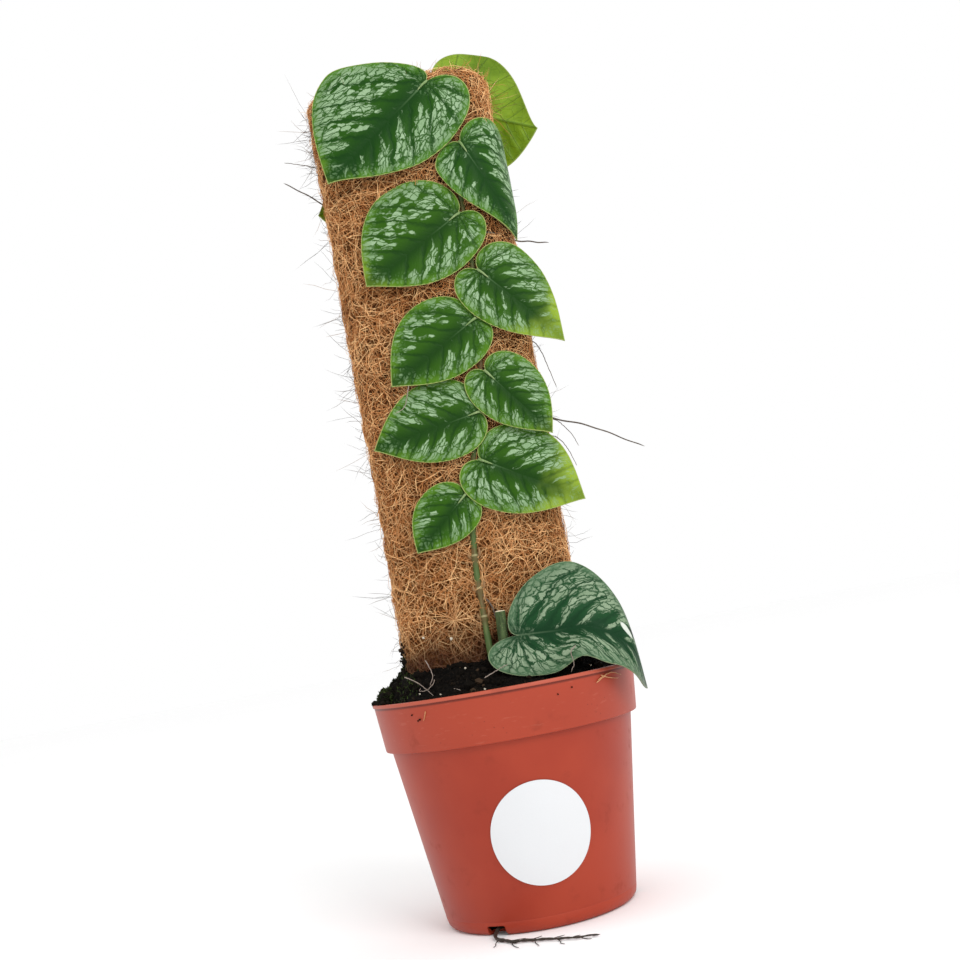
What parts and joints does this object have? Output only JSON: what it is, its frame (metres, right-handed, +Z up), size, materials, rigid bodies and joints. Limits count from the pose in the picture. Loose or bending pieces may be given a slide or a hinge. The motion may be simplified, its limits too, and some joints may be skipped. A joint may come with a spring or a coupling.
{
  "type": "potted climbing houseplant",
  "caption": "Young shingle plant whose heart-shaped silver-marked leaves climb a coir-covered board standing in a round terracotta-coloured plastic nursery pot of soil.",
  "frame": {"origin": "middle of the pot's base, on the surface that it stands on", "axes": "+Z up along the pot's axis, -Y the front with the label and the main leaves, +X to the right seen from the front"},
  "size_m": [0.1454, 0.1264, 0.4117],
  "materials": {
    "pot_plastic": "satin moulded plastic with fine scuffs",
    "label_paper": "blank matt sticker",
    "soil": "damp crumbly potting soil",
    "batten_wood": "sawn softwood",
    "coir": "rough matted coconut fibre",
    "stem": "smooth green bark",
    "leaf": "satin green with silver blocks between the veins",
    "young_leaf": "soft lime green",
    "base_leaf": "satin blue-green with silver panels",
    "root": "dull dark root"
  },
  "bodies": {
    "root": {"pot": "pot_plastic", "label": "label_paper", "soil": "soil", "batten": "batten_wood", "coir_board": "coir", "vine_stem_front": "stem", "vine_stem_back": "stem", "old_shoot": "stem", "drain_root": "root", "base_leaf": "base_leaf", "leaf_front_01": "leaf", "leaf_front_02": "leaf", "leaf_front_03": "leaf", "leaf_front_04": "leaf", "leaf_front_05": "leaf", "leaf_front_06": "leaf", "leaf_front_07": "leaf", "leaf_front_08": "leaf", "leaf_front_09": "leaf", "leaf_back_01": "young_leaf", "leaf_back_02": "young_leaf", "leaf_back_03": "young_leaf", "leaf_back_04": "young_leaf", "leaf_back_05": "young_leaf"}
  },
  "joints": []
}
